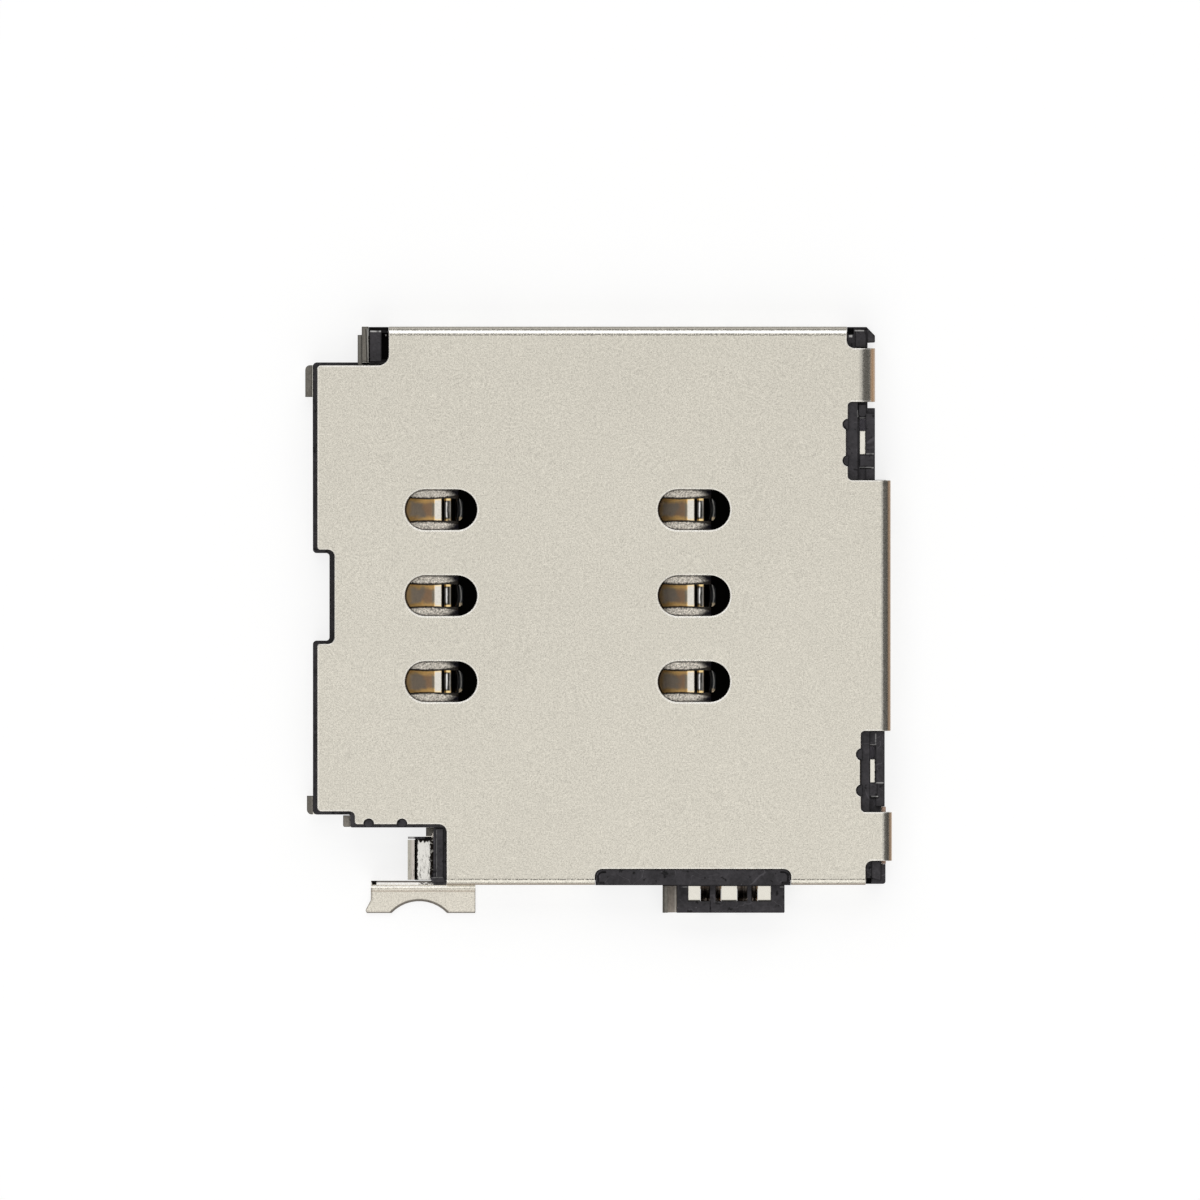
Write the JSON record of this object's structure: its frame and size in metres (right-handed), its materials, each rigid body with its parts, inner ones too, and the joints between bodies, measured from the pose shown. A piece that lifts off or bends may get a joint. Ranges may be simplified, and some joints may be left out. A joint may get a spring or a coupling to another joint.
{
  "type": "sim card reader",
  "caption": "Surface-mount reader for a card tray: steel cover with viewing slots over sprung contacts, black housing, push rod and lever that eject the tray",
  "frame": {"origin": "middle of the footprint, on the plane of the circuit board that the reader is soldered to", "axes": "+Z out of the cover face, +X from the tray mouth to the back, +Y along the mouth"},
  "size_m": [0.0174, 0.0174, 0.0015],
  "materials": {
    "cover_steel": "matte nickel-plated sheet with a fine worm-like grain",
    "black_plastic": "satin moulded",
    "plate_steel": "rolled sheet with grey sheared edges",
    "contact_gold": "polished with gold-flashed edges",
    "switch_gold": "polished with gold-flashed edges",
    "spring_steel": "satin",
    "rod_steel": "rubbed bright on the flat",
    "lever_steel": "satin",
    "rivet_steel": "turned"
  },
  "bodies": {
    "reader": {"top_shell": "cover_steel", "housing": "black_plastic", "base_plate": "plate_steel", "contact_vcc": "contact_gold", "contact_reset": "contact_gold", "contact_clock": "contact_gold", "contact_ground": "contact_gold", "contact_program": "contact_gold", "contact_data": "contact_gold", "detect_spring": "switch_gold", "detect_contact": "switch_gold", "tray_latch_spring": "spring_steel", "lever_rivet": "rivet_steel"},
    "rod": {"eject_rod": "rod_steel"},
    "lever": {"eject_lever": "lever_steel"}
  },
  "joints": [
    {"name": "rod_slide", "type": "slide", "parent": "reader", "child": "rod", "axis": [1, 0, 0], "range_m": [0, 0.001]},
    {"name": "lever_swing", "type": "hinge", "parent": "reader", "child": "lever", "pos_m": [0.00675, -0.0043, 0.00063], "axis": [0, 0, 1], "range_deg": [0, 23.3]}
  ],
  "couplings": [
    {"joint": "lever_swing", "follows": "rod_slide", "rad_per_m": 405}
  ]
}
